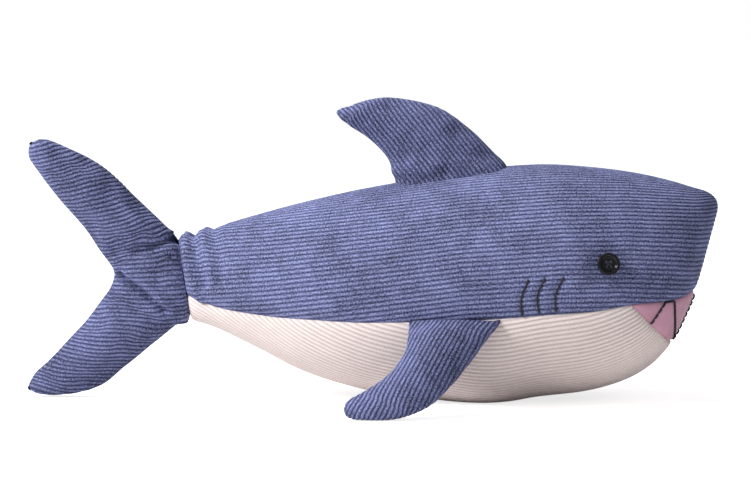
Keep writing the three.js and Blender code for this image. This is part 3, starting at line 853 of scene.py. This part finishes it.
def plain_button():
    bpy.ops.object.select_all(action="DESELECT")
    bpy.ops.mesh.primitive_cylinder_add(
        vertices=BUTTON_SIDES, radius=BUTTON_RADIUS, depth=BUTTON_HEIGHT, location=(0, 0, BUTTON_HEIGHT / 2))
    button = bpy.context.object
    bpy.ops.object.transform_apply(location=True, rotation=True, scale=True)
    bpy.ops.object.mode_set(mode="EDIT")
    bpy.ops.mesh.select_mode(type="FACE")
    bpy.ops.mesh.select_all(action="DESELECT")
    cage = bmesh.from_edit_mesh(button.data)
    for face in cage.faces:
        face.select_set(face.normal.z > 0.9)
    bmesh.update_edit_mesh(button.data)
    bpy.ops.mesh.inset(thickness=RIM_WIDTH)
    bpy.ops.mesh.inset(thickness=WELL_SLOPE)
    bpy.ops.transform.translate(value=(0, 0, -WELL_DEPTH))
    bpy.ops.object.mode_set(mode="OBJECT")
    for k in range(HOLES):
        turn = (k + 0.5) * 2 * math.pi / HOLES
        bpy.ops.mesh.primitive_cylinder_add(
            vertices=HOLE_SIDES, radius=HOLE_RADIUS, depth=4 * BUTTON_HEIGHT,
            location=(HOLE_CIRCLE * math.cos(turn), HOLE_CIRCLE * math.sin(turn), 0))
        drill = bpy.context.object
        bpy.context.view_layer.objects.active = button
        hole = button.modifiers.new("hole", "BOOLEAN")
        hole.operation = "DIFFERENCE"
        hole.object = drill
        bpy.ops.object.modifier_apply(modifier=hole.name)
        bpy.data.objects.remove(drill)
    round_over = button.modifiers.new("round_over", "BEVEL")
    round_over.width = BUTTON_ROUNDING
    round_over.segments = 3
    round_over.limit_method = "ANGLE"
    bpy.ops.object.modifier_apply(modifier=round_over.name)
    button.select_set(True)
    bpy.ops.object.shade_smooth_by_angle(angle=math.radians(40))
    return button


for word, side in (("right", RIGHT), ("left", LEFT)):
    low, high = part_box(f"eye_button_{word}")
    eye_place = np.array((low + high) / 2)
    _, eye_out = facing(body_cloth, np.array(EYE[0]), ring_at(EYE[0], angle_at(EYE[1])), side)
    eye_out = eye_out / np.linalg.norm(eye_out)
    stand = Matrix.Translation(Vector(eye_place - eye_out * (BUTTON_HEIGHT / 2 + BUTTON_SINK)))
    stand = stand @ Vector(eye_out).to_track_quat("Z", "Y").to_matrix().to_4x4()
    button = plain_button()
    button.name = f"{word}_eye"
    button.data.transform(stand)
    button.data.materials.append(black_button)
    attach(button, "body")
    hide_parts(f"eye_button_{word}")
    crossings = []
    for turn, rise in ((math.pi / 4, 0), (3 * math.pi / 4, CROSSING_RISE)):
        for shift in (-STRAND_GAP, STRAND_GAP):
            along = np.array([math.cos(turn), math.sin(turn), 0])
            across = np.array([-math.sin(turn), math.cos(turn), 0])
            reached = np.linspace(-CROSSING_REACH, CROSSING_REACH, CROSSING_STEPS)
            line = reached[:, None] * along + shift * across
            line[:, 2] = BUTTON_HEIGHT - WELL_DEPTH + rise
            line[[0, -1], 2] -= THREAD_DIVE
            crossings.append(stitch(line, np.tile([0.0, 0, 1], (CROSSING_STEPS, 1)), EYE_THREAD))
    eye_thread = thread_piece(f"{word}_eye_thread", crossings)
    eye_thread.data.transform(stand)
    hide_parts("eye_thread")

# ---- Fins ----
# Every fin is two matching pieces of blue corduroy, sewn edge to edge, turned and stuffed. Its outline runs
# in two edges from the root to the tip, and its half thickness is given midway between them.
FIN_COLUMN_STEP = 0.8 * MM
FIN_ALLOWANCE = 1 * MM
OUTLINE_STEPS, OUTLINE_MARGIN = 400, 0.02 * MM
DRAPE_STEPS = 70
EDGE_SHARPNESS = 1.25  # above 1 a fin's edges are sharper than an ellipse's
ROOT_REACH = 0.35  # how far along a fin its root's bluntness reaches
EDGE_GIVE = 0.2  # how freely a fin's cloth swells at its edges, against its middle
GUESSES_U, GUESSES_V, SEARCH_PARTS = 60, 20, 40
CLOSING_ROUNDS, SLOPE_STEP, LEAST_SCALE = 10, 1e-4, 1e-3


class Fin:
    """The surface of a fin. u runs from the root to the tip and v from the leading to the trailing edge.

    place turns flat points and half thicknesses into points, and loose is how freely the cloth swells at flat
    points. ends are the shares of the length that are rounded off, and root widens the leading edge.
    """

    def __init__(
            self, leading, trailing, thickness, place, loose, ends=(0, 0.12), root=None, root_bluntness=2):
        self.edges = np.array(leading, float), np.array(trailing, float)
        self.thickness = np.array(thickness, float)
        self.place = place
        self.ends = ends
        self.root_bluntness = root_bluntness
        self.loose = loose
        self.root = root
        self.swell = {RIGHT: np.zeros((2, 2, 3)), LEFT: np.zeros((2, 2, 3))}

    def rounding(self, u):
        """Where a place lies along the outline, and its share of the width there, with round ends."""
        start, end = self.ends
        into_end = np.clip((u - 1 + end) / end, 0, 1) * math.pi / 2
        along = np.where(u > 1 - end, 1 - end + end * np.sin(into_end), u)
        width = np.cos(into_end)
        if start:
            into_start = np.clip((start - u) / start, 0, 1) * math.pi / 2
            along = np.where(u < start, start - start * np.sin(into_start), along)
            width = width * np.cos(into_start)
        return along, width

    def flat(self, u, v):
        along, width = self.rounding(u)
        front, rear = (through(edge, along * (len(edge) - 1)) for edge in self.edges)
        return (front + rear) / 2 + (rear - front) * (width * (v - 0.5))[..., None]

    def half_thickness(self, u, v):
        along, width = self.rounding(u)
        middle = through(self.thickness[:, None], np.clip(along, 0, 1) * (len(self.thickness) - 1))[..., 0]
        blunt = 2 + (self.root_bluntness - 2) * np.clip(1 - u / ROOT_REACH, 0, 1) ** 2
        square = (middle * width) ** 2 * np.clip(1 - np.abs(2 * v - 1) ** blunt, 0, 1) ** EDGE_SHARPNESS
        if self.root:
            square = square + self.root(self.flat(u, v)) * np.clip(1 - v, 0, 1) ** 3
        return np.sqrt(square)

    def at(self, flat, u, v, side):
        return self.place(flat, self.half_thickness(u, v), side) + look_up(self.swell[side], u, v)

    def __call__(self, u, v, side):
        return self.at(self.flat(u, v), u, v, side)

    def outward(self, u, v, side):
        out = facing(self, u, v, side)[1]
        middle = np.array([0.5])
        away = self(middle, middle, side) - self(middle, middle, -side)
        return out * np.sign((facing(self, middle, middle, side)[1] * away).sum())

    def stuff(self, lengthwise, crosswise, held, cap):
        across = (1 - np.cos(np.linspace(0, math.pi, crosswise))) / 2
        u, v = np.meshgrid(np.linspace(0, 1, lengthwise), across, indexing="ij")
        sheets = [self(u, v, side) for side in (RIGHT, LEFT)]
        swells = stuffed_sheets(*sheets, held(self.flat(u, v)), cap)
        even = np.linspace(0, 1, 4 * crosswise)
        for side, swell in zip((RIGHT, LEFT), swells):
            freedom = self.loose(self.flat(u, v)) * (EDGE_GIVE + (1 - EDGE_GIVE) * np.sqrt(4 * v * (1 - v)))
            fine = fine_grid(swell * freedom[..., None])
            rows = np.linspace(0, 1, fine.shape[0])[:, None] + 0 * even
            self.swell[side] = look_up(fine, rows, np.arccos(1 - 2 * even)[None] / math.pi + 0 * rows)

    def find(self, flat):
        """The u and v of flat points, closed in on step by step."""
        guesses = np.linspace(0, 1, GUESSES_U), np.linspace(0, 1, GUESSES_V)
        guess_u, guess_v = np.meshgrid(*guesses, indexing="ij")
        known = self.flat(guess_u.ravel(), guess_v.ravel())
        nearest = np.concatenate([
            np.argmin(((part[:, None] - known) ** 2).sum(-1), axis=1)
            for part in np.array_split(flat, SEARCH_PARTS)])
        u, v = guess_u.ravel()[nearest], guess_v.ravel()[nearest]
        best_u, best_v, best_miss = u, v, np.full(len(flat), np.inf)
        for _ in range(CLOSING_ROUNDS):
            here = self.flat(u, v)
            distance = np.linalg.norm(flat - here, axis=1)
            better = distance < best_miss
            best_u, best_v = np.where(better, u, best_u), np.where(better, v, best_v)
            best_miss = np.minimum(best_miss, distance)
            step = np.where(u > 0.5, -SLOPE_STEP, SLOPE_STEP)
            by_u = (self.flat(u + step, v) - here) / step[:, None]
            by_v = self.flat(u, v + 1) - here
            miss = flat - here
            scale = by_u[:, 0] * by_v[:, 1] - by_u[:, 1] * by_v[:, 0]
            scale = np.where(np.abs(scale) < LEAST_SCALE, LEAST_SCALE, scale)
            u = np.clip(u + (miss[:, 0] * by_v[:, 1] - miss[:, 1] * by_v[:, 0]) / scale, 0, 1)
            v = np.clip(v + (by_u[:, 0] * miss[:, 1] - by_u[:, 1] * miss[:, 0]) / scale, 0, 1)
        return best_u, best_v


def spans(outline_along, outline_across, places):
    """The lowest and highest crossing of a closed outline at each place along it."""
    low, high = np.full(len(places), np.inf), np.full(len(places), -np.inf)
    ends = zip(outline_along, outline_across, np.roll(outline_along, -1), np.roll(outline_across, -1))
    for a, b, c, d in ends:
        if a == c:
            continue
        reached = (places >= min(a, c)) & (places <= max(a, c))
        crossing = b + (d - b) * (places[reached] - a) / (c - a)
        low[reached] = np.minimum(low[reached], crossing)
        high[reached] = np.maximum(high[reached], crossing)
    return low, high


def fin_side(name, fin, side, wale_turn, straight_wale, folds=()):
    """One face of a fin. Its wales run at an angle to its first flat direction, and follow the one that lies
    straight, straight_wale millimetres across, or the edge nearest to it.
    """
    along = np.array([math.cos(wale_turn), math.sin(wale_turn)])
    across = np.array([-along[1], along[0]])
    dense = np.linspace(0, 1, OUTLINE_STEPS)
    front, rear = fin.flat(dense, 0 * dense), fin.flat(dense, 0 * dense + 1)
    root, tip = fin.flat(0 * dense, dense), fin.flat(0 * dense + 1, dense)
    outline = np.concatenate([front, tip, rear[::-1], root[::-1]]) * MM
    p, q = outline @ along, outline @ across
    steps = round((p.max() - p.min()) / FIN_COLUMN_STEP)
    columns = np.linspace(p.min() + OUTLINE_MARGIN, p.max() - OUTLINE_MARGIN, steps + 1)
    low, high = spans(p, q, columns)
    samples = low[:, None] + (high - low)[:, None] * np.linspace(0, 1, DRAPE_STEPS)
    flat = (columns[:, None, None] * along + samples[..., None] * across).reshape(-1, 2) / MM
    line = fin.at(flat, *fin.find(flat), side).reshape(samples.shape + (3,))
    run = np.cumsum(np.linalg.norm(np.diff(line, axis=1), axis=2), axis=1)
    run = (np.concatenate([np.zeros((len(run), 1)), run], axis=1) + samples - samples[:, :1]) / 2
    straight = straight_wale * MM
    for k, distances in enumerate(run):
        outside = min(straight - low[k], 0) + max(straight - high[k], 0)
        distances -= np.interp(straight, samples[k], distances) + outside
    low, high = run[:, 0], run[:, -1]
    column, distance, faces = trimmed_rows(low, high, wale_rows(low.min(), high.max()))
    flat_across = read_tables(column, distance, zip(run, samples))
    flat = (columns[column][:, None] * along + flat_across[:, None] * across) / MM
    u, v = fin.find(flat)
    out = fin.outward(u, v, side)
    points = fin.at(flat, u, v, side)
    edge = np.minimum(distance - low[column], high[column] - distance)
    lift = wale_height(distance, edge)
    lift -= sunk(edge, 0.4 * MM, 1.2 * MM)
    lift -= MM * fold_depth(flat, folds)
    wale = np.stack([columns[column] / WALE_PITCH, distance / WALE_PITCH], axis=1)
    panel = cloth_piece(name, points + out * lift[:, None], out, faces, wale, FIN_ALLOWANCE)
    # Painted shade: the fin wears the darker copy of the blue cloth.
    panel.data.materials.append(shaded_fin_corduroy)
    return panel


# The back fin stands on the back seam, swept back, with its wales running down and forward.
def upright(flat, half, side):
    return np.stack([flat[..., 0], side * half, flat[..., 1]], axis=-1) * MM


back_fin = Fin(
    leading=((73.2, 119), (70.2, 125.2), (63.6, 132), (52, 143.5), (34, 155.2), (10, 160), (-17.5, 156.2)),
    trailing=((11.6, 108), (10.8, 116), (9.2, 124.6), (5, 131), (-2, 137.6), (-10.5, 143), (-21.5, 149.2)),
    thickness=(14, 13.5, 12, 10, 8.6, 7, 5.2),
    place=upright,
    loose=lambda flat: np.clip((flat[..., 1] - 118 - 0.155 * (flat[..., 0] - 10)) / 12, 0, 1),
    root_bluntness=10,
)
back_fin.stuff(15, 11, lambda flat: flat[..., 1] < 112 + 0.155 * (flat[..., 0] - 10) + 2, 0.9 * MM)
BACK_FIN_FOLDS = (
    (((13, 116), (25.3, 117), (38.6, 120.2)), 1.5, 3),
    (((12.5, 121.3), (21, 125)), -1.0, 3),
    (((-12, 155.9), (-14.6, 145.2)), 0.6, 1.8),
)
for word, side in (("right", RIGHT), ("left", LEFT)):
    panel = fin_side(f"back_fin_{word}", back_fin, side, math.radians(-52), 100, BACK_FIN_FOLDS)
    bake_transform(panel)
    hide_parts(f"back_fin_{word}_panel", "back_fin_stuffing")

# The side fins hang from the side seams, splayed outwards, with their roots tucked into the seams.
SIDE_FIN_ROOT = (42, -62.8, 45.2)
SIDE_FIN_SPLAY, SIDE_FIN_YAW = math.radians(33), math.radians(5)
ROOT_TUCK = 6.4  # how far the root is tucked in under the side seam
TUCK_END, TUCK_RUN = 7, 10.6  # where the tuck ends below the seam, and its length


def hung(word_side):
    forward = np.array([math.cos(SIDE_FIN_YAW), word_side * math.sin(SIDE_FIN_YAW), 0])
    outward = np.array([-math.sin(SIDE_FIN_YAW), word_side * math.cos(SIDE_FIN_YAW), 0])
    spread = outward * math.sin(SIDE_FIN_SPLAY) - np.array([0, 0, math.cos(SIDE_FIN_SPLAY)])
    face = np.cross(forward, spread) * -word_side
    root = np.array([SIDE_FIN_ROOT[0], word_side * -SIDE_FIN_ROOT[1], SIDE_FIN_ROOT[2]])

    def place(flat, half, side):
        tuck = ROOT_TUCK * smooth((TUCK_END - flat[..., 1]) / TUCK_RUN)
        sheet = root + flat[..., :1] * forward + flat[..., 1:] * spread - tuck[..., None] * outward
        points = sheet + (side * half)[..., None] * face
        points[..., 2] = pressed_flat(points[..., 2], 1.5)
        return points * MM

    return place


for word, word_side in (("right", RIGHT), ("left", LEFT)):
    side_fin = Fin(
        leading=(
            (23.4, -2), (21.6, 1.4), (17.4, 7), (9.4, 19.6),
            (-0.6, 33.8), (-12.6, 46.2), (-31, 54), (-48, 56.4)),
        trailing=(
            (-24, -2), (-24, 1.4), (-24, 7), (-25.6, 16.5),
            (-32.6, 27.8), (-42.4, 36.2), (-51.6, 42), (-58, 47.4)),
        thickness=(2.4, 4.2, 6.8, 8.2, 8.2, 7.6, 6.2, 4.6),
        place=hung(word_side),
        loose=lambda flat: np.clip(flat[..., 1] / 12, 0, 1),
    )
    side_fin.stuff(16, 11, lambda flat: flat[..., 1] < 0, 1.4 * MM)
    hinge = Vector((SIDE_FIN_ROOT[0], word_side * -SIDE_FIN_ROOT[1], SIDE_FIN_ROOT[2])) * MM
    spread = Vector((0, word_side * math.sin(SIDE_FIN_SPLAY), -math.cos(SIDE_FIN_SPLAY)))
    for face_word, side in (("top", RIGHT), ("under", LEFT)):
        panel = fin_side(f"{word}_side_fin_{face_word}", side_fin, side, math.radians(114), 0)
        start, end = hinge - 4 * MM * spread, hinge + 9 * MM * spread
        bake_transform(panel)
        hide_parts(f"side_fin_{word}_{face_word}_panel", f"side_fin_{word}_stuffing")

# ---- Tail fin ----
# Each face of the tail is one piece shaped like a boomerang, whose hollow side is the fork. The middle of its
# other side is open, and is sewn round the neck. Forwards, the upper lobe's wales climb and the lower's fall.
NECK_TOP, NECK_BOTTOM, NECK_HALF_WIDTH = BODY[0][1], BODY[0][3], BODY[0][4]


def neck_opening(flat):
    """The square of the neck's half width at a height."""
    angle = angle_at((flat[..., 1] - NECK_BOTTOM) / (NECK_TOP - NECK_BOTTOM))
    half_width = NECK_HALF_WIDTH * np.clip(np.cos(angle), 0, 1) ** np.where(angle < 0, BELLY_FULLNESS, 1)
    return half_width**2 * np.clip((flat[..., 0] + 150) / 20, 0, 1)


tail_fin = Fin(
    leading=(
        (-177.5, 140), (-165, 135.4), (-145, 124.9), (-122, 104.4), (-109, 91.4), (-103.5, 87),
        (-100.3, 64.5), (-97.5, 41.5), (-104, 38.6), (-116.6, 28.2), (-131.7, 15.8), (-148.6, 4), (-182, 0)),
    trailing=(
        (-185, 132), (-178.5, 121), (-167, 105.5), (-154, 90.5), (-146, 79), (-141, 72.5), (-138, 66.5),
        (-140, 59), (-146, 50.5), (-153, 41.5), (-162, 32), (-172.5, 21), (-186.6, 8.2)),
    thickness=(5.4, 8.2, 10.4, 11.8, 12.2, 12, 11.4, 12, 12.2, 11.8, 10.4, 8.2, 5.4),
    place=upright,
    loose=lambda flat: np.clip((-100 - flat[..., 0]) / 12, 0, 1),
    root=neck_opening,
    ends=(0.045, 0.045),
)
tail_fin.stuff(34, 11, lambda flat: flat[..., 0] > -103, 1.3 * MM)
TAIL_FOLDS = (
    (((-134.3, 65.4), (-121, 57.5), (-108.5, 47.3)), 4, 1.4),
    (((-130, 66.5), (-119, 61), (-108, 52)), -2.2, 2.2),
    (((-126, 78.5), (-116, 82), (-104.5, 86)), 3.4, 2.7),
    (((-106, 76), (-99, 72)), 1.1, 1.6),
    (((-107, 60), (-99, 59)), 0.9, 1.6),
    (((-104, 50), (-98, 49)), 0.9, 1.5),
)
TAIL_SLIP = (-2, 1.5)  # how far the left face's folds lie from the right's
UPPER_RISE, LOWER_FALL = 0.2, 0.12
UPPER_LOBE, LOWER_LOBE = (52, 84), (46, 22)  # the heights where the slope of the wales starts and is full
LEVEL_AT = -130  # x at which every wale lies at its own level height
TAIL_COLUMNS = 60
TAIL_OUTLINE_STEPS, CLIMB_ROUNDS = 600, 12
TIP_MARGIN, ROW_MARGIN = 0.03, 0.05
EDGE_LEAN = 0.75  # how far it is square across from an edge, against the distance along a wale
TAIL_SPREAD = 0.94  # how far the tail's wales lie apart, against unstretched cloth


def wale_climb(x, across):
    upper_share = smooth((across - UPPER_LOBE[0]) / (UPPER_LOBE[1] - UPPER_LOBE[0]))
    lower_share = smooth((across - LOWER_LOBE[0]) / (LOWER_LOBE[1] - LOWER_LOBE[0]))
    return (UPPER_RISE * upper_share - LOWER_FALL * lower_share) * (x - LEVEL_AT)


def tail_side(name, side):
    dense = np.linspace(0, 1, TAIL_OUTLINE_STEPS)
    outline = np.concatenate([tail_fin.flat(dense, 0 * dense), tail_fin.flat(dense[::-1], 0 * dense + 1)])
    outline_x, outline_across = outline[:, 0], outline[:, 1]
    for _ in range(CLIMB_ROUNDS):
        outline_across = outline[:, 1] - wale_climb(outline_x, outline_across)
    lowest, highest = outline_across.min() + TIP_MARGIN, outline_across.max() - TIP_MARGIN
    rows = wale_rows(lowest * MM / TAIL_SPREAD, highest * MM / TAIL_SPREAD) * TAIL_SPREAD / MM
    between = (rows > lowest + ROW_MARGIN) & (rows < highest - ROW_MARGIN)
    rows = np.concatenate([[lowest], rows[between], [highest]])
    left, right = spans(outline_across, outline_x, rows)
    share = (1 - np.cos(np.linspace(0, math.pi, TAIL_COLUMNS + 1))) / 2
    x = left[:, None] + (right - left)[:, None] * share
    across = np.broadcast_to(rows[:, None], x.shape)
    flat = np.stack([x, across + wale_climb(x, across)], axis=-1).reshape(-1, 2)
    u, v = tail_fin.find(flat)
    out = tail_fin.outward(u, v, side)
    points = tail_fin.at(flat, u, v, side)
    number = np.arange(x.size).reshape(x.shape)
    faces = grid_quads(number).tolist()
    edge = EDGE_LEAN * MM * (np.minimum(share, 1 - share) * (right - left)[:, None]).ravel()
    across = across.ravel() * MM / TAIL_SPREAD
    lift = wale_height(across, edge)
    at_neck = (flat[:, 1] > NECK_BOTTOM) & (flat[:, 1] < NECK_TOP) & (flat[:, 0] > -125)
    neck_x = BODY[0][0] - NECK_SLANT * (flat[:, 1] - NECK_BOTTOM) / (NECK_TOP - NECK_BOTTOM)
    from_neck = np.where(at_neck, neck_x - flat[:, 0], 99) * MM
    lift -= sunk(edge, 0.5 * MM, 1.2 * MM) + sunk(np.maximum(from_neck, 0), 1.1 * MM, 1.6 * MM)
    slip = (0, 0) if side == RIGHT else TAIL_SLIP
    lift -= MM * fold_depth(flat - slip, TAIL_FOLDS)
    wale = np.stack([flat[:, 0] * MM / WALE_PITCH, across / WALE_PITCH], axis=1)
    panel = cloth_piece(name, points + out * lift[:, None], out, faces, wale, FIN_ALLOWANCE)
    # Painted shade: the tail wears the darker copy of the blue cloth.
    panel.data.materials.append(shaded_fin_corduroy)
    return panel


for word, side in (("right", RIGHT), ("left", LEFT)):
    panel = tail_side(f"tail_fin_{word}", side)
    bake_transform(panel)
    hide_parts(f"tail_fin_{word}_panel", "tail_fin_stuffing")
